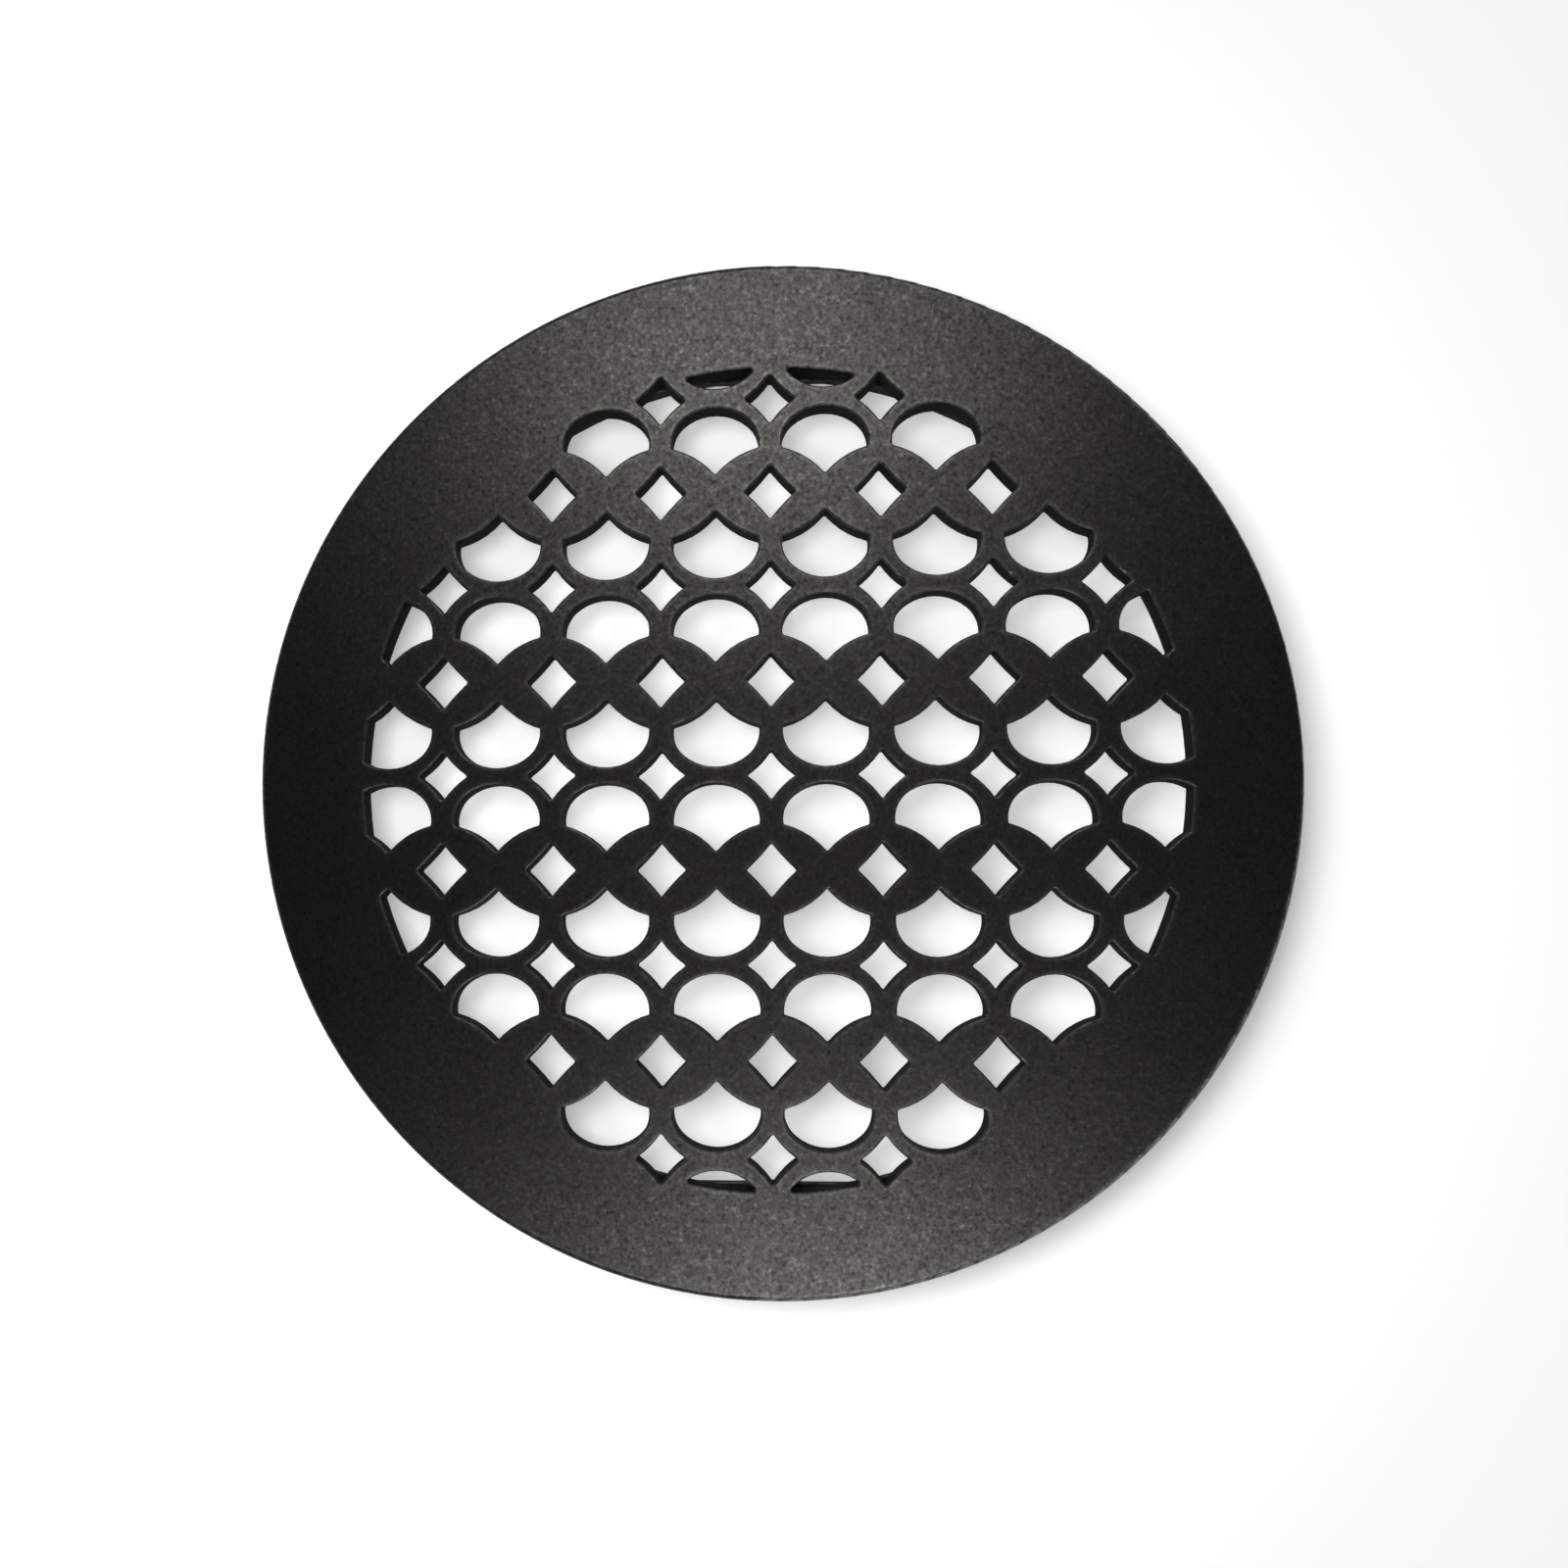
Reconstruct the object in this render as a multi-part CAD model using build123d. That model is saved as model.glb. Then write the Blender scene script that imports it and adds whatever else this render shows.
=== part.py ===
from build123d import *
import os
from math import cos, hypot, radians, sin

# Round floor drain grate: a pierced cover plate on a short collar that drops into the drain's throat.
# Frame: +Z up through the walking face, X along the rows of openings, origin on the plate's axis in
# the plane where the rim gasket meets the finished floor. Millimetres.

# Cover plate
PLATE_D = 254.0                   # 10 in cover
PLATE_T = 6.35                    # 1/4 in thick
PLATE_EDGE_R = 1.2                # rounding of the rim's upper edge
PLATE_LOWER_BREAK = 0.5           # chamfer of the rim's lower edge
OPENING_EDGE_R = 0.5              # rounding of each opening's edge on the walking face

# Pattern of openings, as shares of the pitch
PITCH = 27.05                     # spacing of openings along a row
ROW_PERIOD = 1.7225 * PITCH       # from one row of small diamonds to the next
TRIM_R = 3.735 * PITCH            # circle that the outer fans are trimmed to
SMALL_HALF = 0.229 * PITCH        # small diamond, centre to point
SMALL_SIDE_R = 0.80 * PITCH       # its hollow sides
BIG_HALF_X = 0.229 * PITCH        # large diamond, half its width
BIG_HALF_Y = 0.249 * PITCH        # large diamond, half its height
BIG_SIDE_R = 2.00 * PITCH         # its hollow sides
FAN_CROWN = 0.074 * PITCH         # fan: top of the dome, from the row of small diamonds
FAN_SHOULDER = (0.290 * PITCH, 0.180 * PITCH)
FAN_CORNER = (0.390 * PITCH, 0.450 * PITCH)
FAN_POINT = 0.696 * PITCH         # fan: its point, from the row of small diamonds
FAN_BROW_R = 0.74 * PITCH         # the two hollow sides that meet in the point
CRESCENT_SHIFT = 0.75             # the outermost fans, trimmed to crescents, stand this much further out
CRESCENT_CORNER_R = 0.6           # rounding of their two corners
CORNER_R = 0.45                   # rounding of every sharp corner in plan

# Columns on each side of the middle that each row reaches
SMALL_REACH = {0: 3, 1: 3, 2: 1}  # row number: whole columns of small diamonds
BIG_REACH = {0: 3, 1: 2}          # gap between rows: whole columns of large diamonds
FAN_REACH = {(0, 1): 3, (1, -1): 3, (1, 1): 2, (2, -1): 1, (2, 1): 0}  # (row, side): half columns
TRIMMED_ENDS = {(0, 1), (1, -1)}  # rows of fans whose first and last ones are trimmed
CRESCENT_ROW = (2, 1)             # both of its fans are trimmed

# Collar under the plate
SEAT_T = 2.5                      # thickness of the collar's flange and of the gasket
FLANGE_BORE_R = TRIM_R + 0.65     # the flange's round bore clears the trimmed openings
FLANGE_FLAT_Y = 99.8              # two flats across the bore, front and back, stand behind the crescents
COLLAR_R = 110.5                  # outside of the wall
COLLAR_WALL = 2.0
COLLAR_DEPTH = 20.0               # below the floor plane
COLLAR_LEAD_IN = 1.0              # chamfer that guides the collar into the throat
COLLAR_ROOT_R = 1.0               # inside corner of flange and wall

# Rim gasket
GASKET_INNER_R = 114.0
GASKET_OUTER_R = 125.0
GASKET_EDGE_R = 0.5

# Fixing screws through the collar's ears, hidden behind solid parts of the pattern
EAR_R = 6.0
EAR_AT_R = 103.0
EAR_ANGLE = 49.0                  # degrees from the rows of openings
EAR_CORNER_R = 2.0
SCREW_R = 2.0                     # M4
SCREW_LENGTH = 8.0
SCREW_TIP = 0.4
SCREW_HEAD_R = 4.0
SCREW_HEAD_T = 3.1
SCREW_HEAD_EDGE_R = 1.6
RECESS_REACH = 2.2                # cross recess, half its span
RECESS_W = 0.9
RECESS_DEPTH = 1.8
THREAD_GAP = 0.02                 # between the screw and its tapped hole
TAPPED_DEPTH = 5.0
SCREW_HOLE_R = 2.25
WASHER_R = 3.8
WASHER_HOLE_R = 2.05
WASHER_T = 0.9
WASHER_SPLIT = 0.5
WASHER_SPLIT_LEAN = 25.0          # degrees

# Spring clips on the collar's outside; each strip has a riveted foot and a leaf that gives
STRIP_T = 0.6
STRIP_W = 12.0
FOOT_LOW = -19.0
ROOT_Z = -12.4                    # bend line where the leaf gives
ROOT_OUT = 1.2                    # strip's inner face stands this far off the collar at the bend
ROOT_GAP = 0.15
JOGGLE_FROM = 2.0                 # the foot's bend outwards starts this far below the bend line
JOGGLE_TO = 0.7
JOGGLE_BEND_R = 0.6
CROWN_UP = 8.0                    # from the bend line up to the leaf's outermost line
CROWN_OUT = 2.0
TAIL_UP = 10.4
TAIL_OUT = 1.2
STRIP_BEND_R = 1.0
CROWN_BEND_R = 1.6
STRIP_CORNER_R = 2.0
RIVET_Z = -16.75
RIVET_SPACING = 6.4
RIVET_R = 1.2
RIVET_HEAD_R = 1.8
RIVET_HEAD_T = 0.8
RIVET_INNER_GAP = 0.14            # the collar's inside is hollow, so a flat rivet head stands off it
CLIP_ANGLES = {"right": 0.0, "back": 90.0, "left": 180.0, "front": 270.0}

PLATE_BACK = SEAT_T
EAR_ANGLES = [EAR_ANGLE, 180.0 - EAR_ANGLE, 180.0 + EAR_ANGLE, 360.0 - EAR_ANGLE]
SHARP_TURN = 15.0                 # degrees; edges that turn less than this meet in a tangent joint
TOUCH = 1e-3                      # places nearer than this are the same place
THROUGH = 8.0                     # length of a cut that passes right through a wall
UP_FROM = (Align.CENTER, Align.CENTER, Align.MIN)
DOWN_FROM = (Align.CENTER, Align.CENTER, Align.MAX)


def polar(radius, angle):
    return (radius * cos(radians(angle)), radius * sin(radians(angle)))


def leaves(vertex, edge):
    """Direction in which an edge leaves one of its ends."""
    start = (edge @ 0 - vertex.center()).length < TOUCH
    return edge % 0 if start else -(edge % 1)


def soften(face, radius):
    """Rounds the corners of a flat outline and leaves its tangent joints alone."""
    corners = []
    for vertex in face.vertices():
        touching = [e for e in face.edges() if min((e @ 0 - vertex.center()).length,
                                                   (e @ 1 - vertex.center()).length) < TOUCH]
        turn = 180.0 - leaves(vertex, touching[0]).get_angle(leaves(vertex, touching[1]))
        if turn > SHARP_TURN:
            corners.append(vertex)
    return fillet(corners, radius)


def diamond(half_x, half_y, side_r):
    """Four points joined by shallow hollow arcs."""
    points = [(half_x, 0), (0, half_y), (-half_x, 0), (0, -half_y)]
    sides = [RadiusArc(points[i], points[(i + 1) % 4], side_r) for i in range(4)]
    return make_face(sides)


def fan():
    """Fan-shaped opening: a dome facing the row of small diamonds at y = 0, and a point away from it."""
    shoulder_x, shoulder_y = FAN_SHOULDER
    point = (0, FAN_POINT)
    crown = ThreePointArc((-shoulder_x, shoulder_y), (0, FAN_CROWN), FAN_SHOULDER)
    right_cheek = TangentArc(FAN_SHOULDER, FAN_CORNER, tangent=crown % 1)
    right_brow = RadiusArc(FAN_CORNER, point, FAN_BROW_R)
    right_side = [right_cheek, right_brow]
    left_side = [mirror(edge, about=Plane.YZ) for edge in right_side]
    return make_face([crown] + right_side + left_side)


def dome_disc():
    """Whole circle of a fan's dome, from which the outermost crescents are trimmed."""
    shoulder_x, shoulder_y = FAN_SHOULDER
    rise = shoulder_y - FAN_CROWN
    dome_r = (shoulder_x**2 + rise**2) / (2 * rise)
    return Pos(0, FAN_CROWN + dome_r) * Circle(dome_r)


def pattern():
    """Every opening in the plate, mirrored about both axes."""
    small = soften(diamond(SMALL_HALF, SMALL_HALF, SMALL_SIDE_R), CORNER_R)
    big = soften(diamond(BIG_HALF_X, BIG_HALF_Y, BIG_SIDE_R), CORNER_R)
    soft_fan = soften(fan(), CORNER_R)
    trim = Circle(TRIM_R)
    openings = []

    for row, reach in SMALL_REACH.items():
        for y in sorted({row * ROW_PERIOD, -row * ROW_PERIOD}):
            openings += [Pos(column * PITCH, y) * small for column in range(-reach, reach + 1)]

    for gap, reach in BIG_REACH.items():
        for y in ((gap + 0.5) * ROW_PERIOD, -(gap + 0.5) * ROW_PERIOD):
            openings += [Pos(column * PITCH, y) * big for column in range(-reach, reach + 1)]

    for (row, side), reach in FAN_REACH.items():
        out, cut, corner_r = row * ROW_PERIOD, fan(), CORNER_R
        if (row, side) == CRESCENT_ROW:
            out, cut, corner_r = out + CRESCENT_SHIFT, dome_disc(), CRESCENT_CORNER_R
        for column in range(-reach - 1, reach + 1):
            at_end = column in (-reach - 1, reach)
            for half in (1, -1):
                place = Pos((column + 0.5) * PITCH, half * out) * Rot(0, 0, 0 if half * side > 0 else 180)
                if (row, side) == CRESCENT_ROW or (at_end and (row, side) in TRIMMED_ENDS):
                    openings.append(soften((place * cut) & trim, corner_r))
                else:
                    openings.append(place * soft_fan)
    return openings


def rim_edges(plate):
    """The plate's outermost circles, lowest first."""
    circles = plate.edges().filter_by(GeomType.CIRCLE)
    return circles.filter_by(lambda edge: abs(edge.radius - PLATE_D / 2) < TOUCH).sort_by(Axis.Z)


def face_plate():
    outline = Circle(PLATE_D / 2) - pattern()
    plate = Pos(0, 0, PLATE_BACK) * extrude(outline, PLATE_T)
    top = plate.faces().sort_by(Axis.Z)[-1]
    plate = fillet([e for wire in top.inner_wires() for e in wire.edges()], OPENING_EDGE_R)
    plate = fillet(rim_edges(plate)[-1], PLATE_EDGE_R)
    plate = chamfer(rim_edges(plate)[0], PLATE_LOWER_BREAK)
    for angle in EAR_ANGLES:
        x, y = polar(EAR_AT_R, angle)
        plate -= Pos(x, y, PLATE_BACK) * Cylinder(SCREW_R, TAPPED_DEPTH, align=UP_FROM)
    return plate


def clip_place(angle):
    """Moves a clip piece, drawn at the collar's right with x outwards, round to its angle."""
    return Rot(0, 0, angle)


def rivet_spots():
    return [(side * RIVET_SPACING / 2, RIVET_Z) for side in (-1, 1)]


def collar():
    inner_r = COLLAR_R - COLLAR_WALL
    flange = Cylinder(COLLAR_R, SEAT_T, align=UP_FROM)
    bore = Cylinder(FLANGE_BORE_R, SEAT_T, align=UP_FROM)
    flange -= bore & Box(2 * COLLAR_R, 2 * FLANGE_FLAT_Y, SEAT_T, align=UP_FROM)
    for angle in EAR_ANGLES:
        x, y = polar(EAR_AT_R, angle)
        flange += Pos(x, y, 0) * Cylinder(EAR_R, SEAT_T, align=UP_FROM)
    necks = [e for e in flange.edges().filter_by(Axis.Z) if hypot(e.center().X, e.center().Y) < inner_r]
    flange = fillet(necks, EAR_CORNER_R)
    wall = Cylinder(COLLAR_R, COLLAR_DEPTH, align=DOWN_FROM)
    wall -= Cylinder(inner_r, COLLAR_DEPTH, align=DOWN_FROM)
    ring = flange + wall
    low = [e for e in ring.edges().filter_by(GeomType.CIRCLE) if abs(e.center().Z + COLLAR_DEPTH) < TOUCH]
    ring = chamfer(ShapeList(low).sort_by(SortBy.RADIUS)[-1], COLLAR_LEAD_IN)
    root = [e for e in ring.edges().filter_by(GeomType.CIRCLE)
            if abs(e.center().Z) < TOUCH and abs(e.radius - inner_r) < TOUCH]
    ring = fillet(root, COLLAR_ROOT_R)
    for angle in EAR_ANGLES:
        x, y = polar(EAR_AT_R, angle)
        ring -= Pos(x, y, 0) * Cylinder(SCREW_HOLE_R, SEAT_T, align=UP_FROM)
    for angle in CLIP_ANGLES.values():
        for y, z in rivet_spots():
            hole = Pos(inner_r, y, z) * Rot(0, 90, 0) * Cylinder(RIVET_R, THROUGH)
            ring -= clip_place(angle) * hole
    return ring


def rim_gasket():
    ring = Cylinder(GASKET_OUTER_R, SEAT_T, align=UP_FROM)
    ring -= Cylinder(GASKET_INNER_R, SEAT_T, align=UP_FROM)
    return fillet(ring.edges().filter_by(GeomType.CIRCLE).group_by(Axis.Z)[0], GASKET_EDGE_R)


def mount_screw(angle):
    """Cross-recessed pan-head screw that goes up through an ear into the plate."""
    head_top = -WASHER_T
    head = Cylinder(SCREW_HEAD_R, SCREW_HEAD_T, align=DOWN_FROM)
    head = fillet(head.edges().sort_by(Axis.Z)[0], SCREW_HEAD_EDGE_R)
    recess = Box(2 * RECESS_REACH, RECESS_W, RECESS_DEPTH, align=UP_FROM)
    recess += Box(RECESS_W, 2 * RECESS_REACH, RECESS_DEPTH, align=UP_FROM)
    head -= Pos(0, 0, -SCREW_HEAD_T) * recess
    shank = Cylinder(SCREW_R - THREAD_GAP, SCREW_LENGTH, align=UP_FROM)
    shank = chamfer(shank.edges().sort_by(Axis.Z)[-1], SCREW_TIP)
    x, y = polar(EAR_AT_R, angle)
    return Pos(x, y, head_top) * Rot(0, 0, angle) * (head + shank)


def lock_washer(angle):
    """Split spring washer between a screw head and its ear."""
    ring = Cylinder(WASHER_R, WASHER_T, align=DOWN_FROM)
    ring -= Cylinder(WASHER_HOLE_R, WASHER_T, align=DOWN_FROM)
    split = Box(WASHER_R, WASHER_SPLIT, THROUGH, align=(Align.MIN, Align.CENTER, Align.CENTER))
    ring -= Pos(0, 0, -WASHER_T / 2) * Rot(WASHER_SPLIT_LEAN, 0, 0) * split
    x, y = polar(EAR_AT_R, angle)
    return Pos(x, y, 0) * Rot(0, 0, angle + 90) * ring


def strip(points, radii):
    """Bent strip of the clip's width, from its centre line in the upright plane through the collar's axis."""
    line = FilletPolyline(*points, radius=radii)
    flat = trace(line, STRIP_T)
    return extrude(Plane.XZ * flat, STRIP_W / 2, both=True)


def clip_foot(angle):
    """Lower part of a clip: flat on the collar, then bent out to the leaf's root."""
    flat_x = COLLAR_R + STRIP_T / 2
    root_x = COLLAR_R + ROOT_OUT + STRIP_T / 2
    bend_low = ROOT_Z - JOGGLE_FROM
    bend_high = ROOT_Z - JOGGLE_TO
    points = [(flat_x, FOOT_LOW), (flat_x, bend_low), (root_x, bend_high), (root_x, ROOT_Z - ROOT_GAP / 2)]
    foot = strip(points, JOGGLE_BEND_R)
    low_corners = foot.edges().filter_by(Axis.X).group_by(Axis.Z)[0]
    foot = fillet(low_corners, STRIP_CORNER_R)
    for y, z in rivet_spots():
        foot -= Pos(flat_x, y, z) * Rot(0, 90, 0) * Cylinder(RIVET_R, THROUGH)
    return clip_place(angle) * foot


def spring_leaf(angle):
    """Upper part of a clip: leans out to a crown that grips the throat, then turns back in."""
    root_x = COLLAR_R + ROOT_OUT + STRIP_T / 2
    points = [(root_x, ROOT_Z + ROOT_GAP / 2), (root_x, ROOT_Z + JOGGLE_TO),
              (root_x + CROWN_OUT, ROOT_Z + CROWN_UP), (root_x + TAIL_OUT, ROOT_Z + TAIL_UP)]
    leaf = strip(points, [STRIP_BEND_R, CROWN_BEND_R])
    return clip_place(angle) * leaf


def clip_rivet(angle, y):
    """Domed rivet through a clip's foot and the collar's wall."""
    outer_x = COLLAR_R + STRIP_T
    inner_x = COLLAR_R - COLLAR_WALL - RIVET_INNER_GAP
    length = outer_x - inner_x
    dome_r = (RIVET_HEAD_R**2 + RIVET_HEAD_T**2) / (2 * RIVET_HEAD_T)
    dome = Pos(0, 0, RIVET_HEAD_T - dome_r) * Sphere(dome_r)
    head = dome & Cylinder(RIVET_HEAD_R, 2 * RIVET_HEAD_T, align=UP_FROM)
    tail = Cylinder(RIVET_HEAD_R, RIVET_HEAD_T, align=DOWN_FROM)
    tail = fillet(tail.edges().sort_by(Axis.Z)[0], RIVET_HEAD_T / 2)
    rivet = Cylinder(RIVET_R - THREAD_GAP, length, align=UP_FROM) + Pos(0, 0, length) * head + tail
    return clip_place(angle) * Pos(inner_x, y, RIVET_Z) * Rot(0, 90, 0) * rivet


def nodes():
    """Every sub-part by its node name."""
    made = {"face_plate": face_plate(), "collar": collar(), "rim_gasket": rim_gasket()}
    for number, angle in enumerate(EAR_ANGLES, 1):
        made[f"mount_screw_{number}"] = mount_screw(angle)
        made[f"lock_washer_{number}"] = lock_washer(angle)
    for side, angle in CLIP_ANGLES.items():
        made[f"clip_foot_{side}"] = clip_foot(angle)
        made[f"spring_leaf_{side}"] = spring_leaf(angle)
        for letter, (y, _) in zip("ab", rivet_spots()):
            made[f"clip_rivet_{side}_{letter}"] = clip_rivet(angle, y)
    return made


os.makedirs("parts", exist_ok=True)
for name, shape in nodes().items():
    export_step(shape, f"parts/{name}.step")
    print(f"{name}: {shape.volume:.1f} mm3")
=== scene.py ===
from math import cos, radians, sin, tau

import bpy
from mathutils import Matrix, Vector


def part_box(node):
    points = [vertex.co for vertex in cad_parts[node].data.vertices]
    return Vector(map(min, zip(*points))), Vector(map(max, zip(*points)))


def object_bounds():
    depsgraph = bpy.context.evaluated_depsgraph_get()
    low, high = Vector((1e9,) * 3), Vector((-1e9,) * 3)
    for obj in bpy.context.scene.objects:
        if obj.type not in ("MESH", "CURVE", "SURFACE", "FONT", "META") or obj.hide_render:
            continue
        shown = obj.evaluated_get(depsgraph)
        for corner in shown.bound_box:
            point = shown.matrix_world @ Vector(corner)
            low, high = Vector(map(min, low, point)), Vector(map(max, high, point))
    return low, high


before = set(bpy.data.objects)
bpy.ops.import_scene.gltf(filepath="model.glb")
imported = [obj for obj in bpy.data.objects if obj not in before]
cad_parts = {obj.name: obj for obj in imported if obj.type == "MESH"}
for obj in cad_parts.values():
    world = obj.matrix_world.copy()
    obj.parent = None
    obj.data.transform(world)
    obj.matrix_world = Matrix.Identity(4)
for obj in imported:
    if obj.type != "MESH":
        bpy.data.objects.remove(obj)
cad_low, cad_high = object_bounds()

# Looks of a pierced black floor drain grate. Everything is in metres, in the frame of the CAD model.
MM = 0.001
FACE_Z = cad_high.z
FLOOR_Z = cad_low.z
PLATE_R = cad_high.x
COLLAR_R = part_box("collar")[1].x
PLATE_EDGE_R = 1.2 * MM           # rounding of the plate's outer edge

# Camera: where it stands over the walking face. The photograph is a crop, so its lens axis is off the
# middle of the frame, by these shares of the frame's width.
CAMERA_AT = Vector((-2.3 * MM, -32.4 * MM, FACE_Z + 334.0 * MM))
CAMERA_TURN = (("X", 2.73), ("Y", 3.47), ("Z", -0.23))   # degrees, from looking straight down
LENS_MM = 31.5
SENSOR_MM = 36.0
SHIFT_X = 0.067
SHIFT_Y = 0.037

# Studio light
WALL_LIGHT = 0.16
CEILING_LIGHT = 0.015
WALL_TOP = 0.65                   # sine of the elevation where the pale walls end
WALL_FADE = 0.2                   # they fade into the dark ceiling over this much below it
FLOOR_GLOW = 0.41
FAR_FLOOR = 0.80                  # how light the floor is beyond the lamps' reach
STAGE_HALF = 6.0                  # half the floor's side
STAGE_WALL_R = 5.5                # walls round the stage
KEY_OFFSET = Vector((-52 * MM, 20 * MM, 0))
WARM = (1.0, 0.96, 0.90)

# Shares of edge wear and painted edge highlight: how far a rounded normal agrees with the flat one where the
# mark is full and where it ends
WEAR_AND_HIGHLIGHT_FULL = 0.94
WEAR_AND_HIGHLIGHT_NONE = 0.9985


# ---------------------------------------------------------------- node helpers

class Shader:
    """A material's node tree with short calls for the nodes that the finishes below share."""

    def __init__(self, name):
        self.material = bpy.data.materials.new(name)
        self.material.use_nodes = True
        self.nodes = self.material.node_tree.nodes
        self.links = self.material.node_tree.links
        self.nodes.clear()
        self.out = self.nodes.new("ShaderNodeOutputMaterial")
        self.surface = self.nodes.new("ShaderNodeBsdfPrincipled")
        self.links.new(self.surface.outputs["BSDF"], self.out.inputs["Surface"])
        self.place = self.nodes.new("ShaderNodeTexCoord").outputs["Object"]

    def put(self, socket, value):
        """Feeds a socket from another socket, or sets its value."""
        if isinstance(value, bpy.types.NodeSocket):
            self.links.new(value, socket)
        else:
            socket.default_value = value

    def set(self, **values):
        for name, value in values.items():
            self.put(self.surface.inputs[name.replace("_", " ")], value)

    def stretched(self, scale):
        """Object coordinates multiplied along each axis."""
        node = self.nodes.new("ShaderNodeMapping")
        node.inputs["Scale"].default_value = scale
        self.links.new(self.place, node.inputs["Vector"])
        return node.outputs["Vector"]

    def noise(self, size, detail=3.0, rough=0.55, place=None, offset=0.0):
        """Noise with features of about the given size in metres."""
        node = self.nodes.new("ShaderNodeTexNoise")
        node.noise_dimensions = "4D"
        self.put(node.inputs["Vector"], place or self.place)
        node.inputs["W"].default_value = offset
        node.inputs["Scale"].default_value = 1.0 / size
        node.inputs["Detail"].default_value = detail
        node.inputs["Roughness"].default_value = rough
        return node.outputs["Fac"]

    def cells(self, size):
        """Rounded pebbles of about the given size in metres."""
        node = self.nodes.new("ShaderNodeTexVoronoi")
        node.feature = "SMOOTH_F1"
        self.put(node.inputs["Vector"], self.place)
        node.inputs["Scale"].default_value = 1.0 / size
        return node.outputs["Distance"]

    def ramp(self, value, stops):
        """Maps a value from 0 to 1 through (position, grey or colour) stops."""
        node = self.nodes.new("ShaderNodeValToRGB")
        elements = node.color_ramp.elements
        while len(elements) < len(stops):
            elements.new(0.5)
        for element, (position, colour) in zip(elements, stops):
            element.position = position
            element.color = (*colour, 1) if isinstance(colour, tuple) else (colour, colour, colour, 1)
        self.links.new(value, node.inputs["Fac"])
        return node.outputs["Color"]

    def span(self, value, low, high, from_low=0.0, from_high=1.0):
        """Number from low to high as the value goes between its two limits."""
        node = self.nodes.new("ShaderNodeMapRange")
        limits = {"From Min": from_low, "From Max": from_high, "To Min": low, "To Max": high}
        for name, number in limits.items():
            node.inputs[name].default_value = number
        self.links.new(value, node.inputs["Value"])
        return node.outputs["Result"]

    def math(self, operation, a, b=0.0):
        node = self.nodes.new("ShaderNodeMath")
        node.operation = operation
        self.put(node.inputs[0], a)
        self.put(node.inputs[1], b)
        return node.outputs["Value"]

    def mix(self, factor, a, b, mode="MIX"):
        """Colour a where factor is 0, b where it is 1."""
        node = self.nodes.new("ShaderNodeMix")
        node.data_type = "RGBA"
        node.blend_type = mode
        self.put(node.inputs["Factor"], factor)
        self.put(node.inputs["A"], (*a, 1) if isinstance(a, tuple) else a)
        self.put(node.inputs["B"], (*b, 1) if isinstance(b, tuple) else b)
        return node.outputs["Result"]

    def blend(self, factor, a, b):
        """Number a where factor is 0, b where it is 1."""
        node = self.nodes.new("ShaderNodeMix")
        self.put(node.inputs["Factor"], factor)
        self.put(node.inputs["A"], a)
        self.put(node.inputs["B"], b)
        return node.outputs["Result"]

    def facing_up(self):
        """How far the surface faces up or down, from 0 on an upright wall to 1."""
        node = self.nodes.new("ShaderNodeSeparateXYZ")
        self.links.new(self.nodes.new("ShaderNodeNewGeometry").outputs["True Normal"], node.inputs["Vector"])
        return self.math("ABSOLUTE", node.outputs["Z"])

    def beyond(self, radius):
        """0 nearer to the upright axis than the given radius, 1 farther out."""
        fade = 0.3 * MM
        node = self.nodes.new("ShaderNodeVectorMath")
        node.operation = "LENGTH"
        self.links.new(self.stretched((1, 1, 0)), node.inputs[0])
        return self.span(node.outputs["Value"], 0.0, 1.0, radius - fade, radius + fade)

    def near_edge(self, radius):
        """Rises from 0 on a flat stretch to 1 beside an edge, within the given radius."""
        rounded = self.nodes.new("ShaderNodeBevel")
        rounded.samples = 8
        rounded.inputs["Radius"].default_value = radius
        agree = self.nodes.new("ShaderNodeVectorMath")
        agree.operation = "DOT_PRODUCT"
        self.links.new(rounded.outputs["Normal"], agree.inputs[0])
        self.links.new(self.nodes.new("ShaderNodeNewGeometry").outputs["Normal"], agree.inputs[1])
        return self.span(agree.outputs["Value"], 1.0, 0.0, WEAR_AND_HIGHLIGHT_FULL, WEAR_AND_HIGHLIGHT_NONE)

    def bump(self, height, depth, under=None):
        """Relief of the given depth in metres, laid on top of an earlier one."""
        node = self.nodes.new("ShaderNodeBump")
        node.inputs["Strength"].default_value = 1.0
        node.inputs["Distance"].default_value = depth
        self.links.new(height, node.inputs["Height"])
        if under is not None:
            self.links.new(under, node.inputs["Normal"])
        return node.outputs["Normal"]


# ---------------------------------------------------------------- materials

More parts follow.
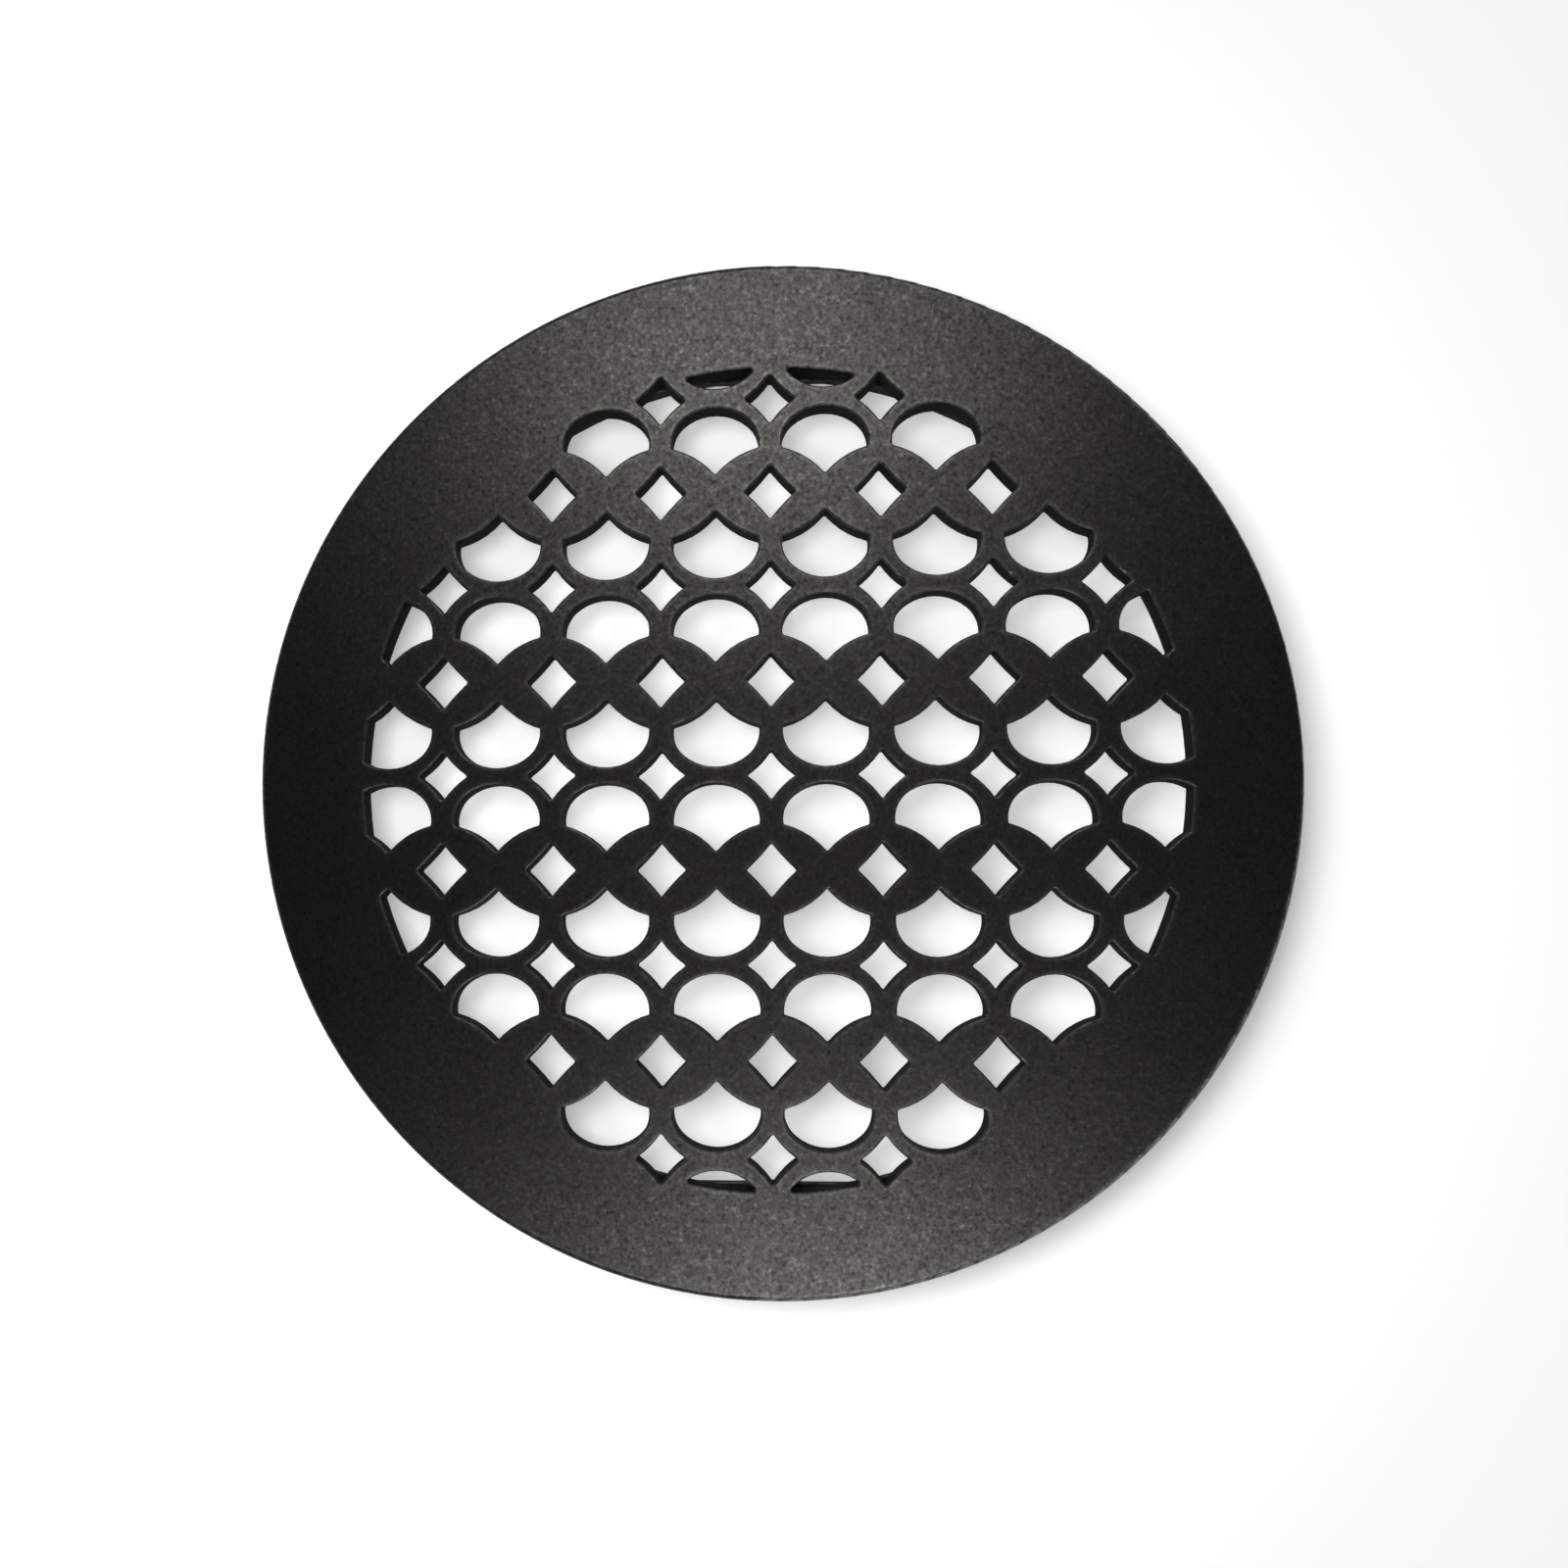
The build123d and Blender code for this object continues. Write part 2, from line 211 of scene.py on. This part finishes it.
def powder_coat():
    """Sandy black powder coat: fine pits and grains, and a brighter coat along its edges that is partly edge
    wear and partly a painted highlight on the rounded edges.

    The coat lies on the faces and round the rim. The openings' walls are painted near-black, as shade within
    the openings.
    """
    s = Shader("textured_black_coat")
    grain = s.noise(0.85 * MM, detail=2.5, rough=0.55, offset=1.0)
    pebble = s.cells(0.9 * MM)
    grit = s.noise(0.3 * MM, detail=2.0, offset=3.0)
    cloud = s.noise(35 * MM, detail=2.0, offset=5.0)
    relief = s.math("ADD", s.math("MULTIPLY", grain, 0.6), s.math("MULTIPLY", pebble, 0.4))
    speck = s.ramp(grain, [(0.30, 0.040), (0.42, 0.067), (0.5, 0.081), (0.60, 0.102), (0.72, 0.165)])
    tone = s.ramp(cloud, [(0.35, 0.9), (0.65, 1.0)])
    face = s.span(s.facing_up(), 0.0, 1.0, 0.2, 0.6)
    rim = s.beyond(PLATE_R - PLATE_EDGE_R)
    # Painted shade: the openings' upright walls get a near-black colour, standing in for the shade within the
    # openings.
    opening_wall_painted_shade = (0.006, 0.006, 0.006)
    # Partly edge wear, partly painted highlight: a lighter coat beside the edges stands in for the light
    # their rounded lips catch.
    rub_and_edge_highlight = s.math("MULTIPLY", s.near_edge(2.4 * MM), s.span(grain, 0.35, 1.0, 0.4, 0.6))
    coat = s.mix(rub_and_edge_highlight, s.mix(1.0, speck, tone, "MULTIPLY"), (0.17, 0.167, 0.159))
    sheen_rough = s.span(s.math("ADD", grain, s.math("MULTIPLY", grit, 0.5)), 0.40, 0.31, 0.5, 1.0)
    # The base colour mixes the coat with the painted near-black shade of the openings' walls.
    s.set(Base_Color=s.mix(s.math("MAXIMUM", face, rim), opening_wall_painted_shade, coat),
          Metallic=face,
          Roughness=s.blend(face, s.blend(rim, 0.95, 0.50), sheen_rough), Specular_IOR_Level=0.15,
          Normal=s.bump(grit, 0.008 * MM, s.bump(relief, 0.04 * MM)))
    return s.material


def satin_black():
    """Satin black coat on the collar, duller and painted darker on its bore as shade under the plate, and
    scuffed along its edges by the throat.
    """
    s = Shader("collar_satin_black")
    skin = s.noise(2.2 * MM, detail=3.0, offset=2.0)
    dust = s.noise(0.4 * MM, detail=2.0, offset=4.0)
    scuff = s.noise(6 * MM, detail=4.0, rough=0.7, place=s.stretched((1, 1, 0.25)), offset=10.0)
    worn = s.math("MULTIPLY", s.near_edge(0.7 * MM), s.span(scuff, 0.0, 1.0, 0.45, 0.62))
    # Painted shade: the bore gets a darker copy of the satin coat than the outer face, standing in for the
    # shade under the plate.
    inside_painted_shade = s.ramp(skin, [(0.3, (0.006, 0.006, 0.007)), (0.7, (0.014, 0.013, 0.013))])
    outside = s.ramp(skin, [(0.3, (0.026, 0.026, 0.027)), (0.7, (0.048, 0.046, 0.044))])
    turned_out = s.beyond(COLLAR_R - 1.0 * MM)
    dull = s.span(dust, 0.60, 0.80, 0.3, 0.7)
    satin = s.span(dust, 0.36, 0.50, 0.3, 0.7)
    s.set(Base_Color=s.mix(worn, s.mix(turned_out, inside_painted_shade, outside), (0.085, 0.082, 0.078)),
          Roughness=s.blend(turned_out, dull, satin),
          Specular_IOR_Level=0.08,
          Normal=s.bump(dust, 0.008 * MM, s.bump(skin, 0.03 * MM)))
    return s.material


def moulded_rubber():
    """Matte black rubber with a patchy grey bloom."""
    s = Shader("gasket_rubber")
    skin = s.noise(0.6 * MM, detail=4.0, offset=6.0)
    bloom = s.noise(14 * MM, detail=3.0, offset=7.0)
    s.set(Base_Color=s.mix(s.span(bloom, 0.0, 0.6, 0.45, 0.75), (0.016, 0.016, 0.017), (0.050, 0.050, 0.052)),
          Roughness=s.span(skin, 0.68, 0.86, 0.3, 0.7),
          Normal=s.bump(skin, 0.02 * MM))
    return s.material


def rolled_steel(name, tint, stretch, rough):
    """Stainless strip or fastener with a fine directional grain."""
    s = Shader(name)
    grain = s.noise(0.25 * MM, detail=3.0, place=s.stretched(stretch), offset=8.0)
    stain = s.noise(5 * MM, detail=3.0, offset=9.0)
    dark = tuple(0.62 * c for c in tint)
    s.set(Base_Color=s.mix(s.span(stain, 0.0, 0.8, 0.4, 0.75), tint, dark), Metallic=1.0,
          Roughness=s.span(grain, rough - 0.06, rough + 0.08, 0.3, 0.7),
          Normal=s.bump(grain, 0.006 * MM))
    return s.material


def dress():
    """Gives each CAD node its finish."""
    steel_strip = rolled_steel("spring_steel_strip", (0.56, 0.55, 0.52), (1, 1, 0.12), 0.30)
    steel_fixings = rolled_steel("stainless_fasteners", (0.62, 0.61, 0.58), (1, 1, 1), 0.26)
    finishes = {"face_plate": powder_coat(), "collar": satin_black(), "rim_gasket": moulded_rubber()}
    for name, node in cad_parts.items():
        fixing = steel_strip if name.startswith(("clip_foot", "spring_leaf")) else steel_fixings
        node.data.materials.clear()
        node.data.materials.append(finishes.get(name, fixing))


# ---------------------------------------------------------------- stage

def floor():
    """Plain pale floor that the collar stands on."""
    half = STAGE_HALF
    mesh = bpy.data.meshes.new("floor")
    corners = [(-half, -half, FLOOR_Z), (half, -half, FLOOR_Z), (half, half, FLOOR_Z), (-half, half, FLOOR_Z)]
    mesh.from_pydata(corners, [], [(0, 1, 2, 3)])
    plane = bpy.data.objects.new("floor", mesh)
    bpy.context.scene.collection.objects.link(plane)
    s = Shader("pale_floor")
    s.set(Base_Color=(0.86, 0.86, 0.86, 1), Roughness=0.9, Specular_IOR_Level=0.1,
          Emission_Color=(1, 1, 1, 1), Emission_Strength=FLOOR_GLOW)
    mesh.materials.append(s.material)


def wall(name, rise):
    """Pale wall round the stage, as light as the far floor."""
    sides = 96
    mesh = bpy.data.meshes.new(name)
    turns = [tau * i / sides for i in range(sides)]
    ring = [(STAGE_WALL_R * cos(turn), STAGE_WALL_R * sin(turn)) for turn in turns]
    points = [(x, y, FLOOR_Z) for x, y in ring] + [(x, y, FLOOR_Z + rise) for x, y in ring]
    faces = [(i, (i + 1) % sides, (i + 1) % sides + sides, i + sides) for i in range(sides)]
    mesh.from_pydata(points, [], faces)
    band = bpy.data.objects.new(name, mesh)
    bpy.context.scene.collection.objects.link(band)
    s = Shader("pale_" + name)
    s.set(Base_Color=(0, 0, 0, 1), Roughness=1.0, Specular_IOR_Level=0.0,
          Emission_Color=(1, 1, 1, 1), Emission_Strength=FAR_FLOOR)
    mesh.materials.append(s.material)
    band.visible_diffuse = band.visible_shadow = False
    return band


def backdrop():
    """A tall wall that only the camera sees, and a low one that only glossy surfaces mirror."""
    wall("backdrop", rise=5.0).visible_glossy = False
    wall("horizon", rise=1.9).visible_camera = False


def softbox(name, place, size, power, colour=(1, 1, 1), aim=(0, 0, 0), mirrored=True, lights_floor=True):
    """Rectangular lamp that glossy surfaces may mirror and that may light the matt ones."""
    light = bpy.data.lights.new(name, "AREA")
    light.shape = "RECTANGLE"
    light.size, light.size_y = size
    light.energy = power
    light.color = colour
    lamp = bpy.data.objects.new(name, light)
    lamp.location = place
    lamp.rotation_mode = "QUATERNION"
    lamp.rotation_quaternion = (Vector(aim) - Vector(place)).to_track_quat("-Z", "Y")
    lamp.visible_glossy = mirrored
    lamp.visible_diffuse = lights_floor
    bpy.context.scene.collection.objects.link(lamp)


def studio():
    """Pale walls and a dark ceiling, two strips that the plate mirrors, a wash from the upper left that
    casts the soft shadow, and a key beside the camera that shades the floor seen through the openings."""
    world = bpy.data.worlds.new("studio")
    world.use_nodes = True
    nodes, links = world.node_tree.nodes, world.node_tree.links
    height = nodes.new("ShaderNodeSeparateXYZ")
    walls = nodes.new("ShaderNodeValToRGB")
    stops = ((WALL_TOP - WALL_FADE, WALL_LIGHT), (WALL_TOP, CEILING_LIGHT))
    for element, (position, grey) in zip(walls.color_ramp.elements, stops):
        element.position = position
        element.color = (grey, grey, grey, 1)
    links.new(nodes.new("ShaderNodeTexCoord").outputs["Generated"], height.inputs["Vector"])
    links.new(height.outputs["Z"], walls.inputs["Fac"])
    links.new(walls.outputs["Color"], nodes["Background"].inputs["Color"])
    bpy.context.scene.world = world
    bpy.context.scene.view_settings.view_transform = "Standard"
    softbox("upper_strip", (-0.008, 0.50, 1.0), (0.35, 0.22), 1.35, WARM, lights_floor=False)
    softbox("lower_strip", (0.05, -0.50, 1.0), (0.34, 0.20), 1.90, WARM, lights_floor=False)
    softbox("wash", (-1.24, 0.44, 2.3), (1.2, 1.2), 32.0, mirrored=False)
    key_at = CAMERA_AT + KEY_OFFSET
    softbox("key", key_at, (0.10, 0.10), 0.78, aim=(key_at.x, key_at.y, FLOOR_Z), mirrored=False)


def camera():
    """Camera over the walking face, a little off the middle and almost square on."""
    lens = bpy.data.cameras.new("camera")
    lens.lens = LENS_MM
    lens.sensor_width = SENSOR_MM
    lens.clip_start = 10 * MM
    cam = bpy.data.objects.new("camera", lens)
    pose = Matrix.Translation(CAMERA_AT)
    for axis, angle in CAMERA_TURN:
        pose = pose @ Matrix.Rotation(radians(angle), 4, axis)
    cam.matrix_world = pose
    lens.shift_x = SHIFT_X
    lens.shift_y = SHIFT_Y
    bpy.context.scene.collection.objects.link(cam)
    bpy.context.scene.camera = cam


dress()
floor()
backdrop()
studio()
camera()
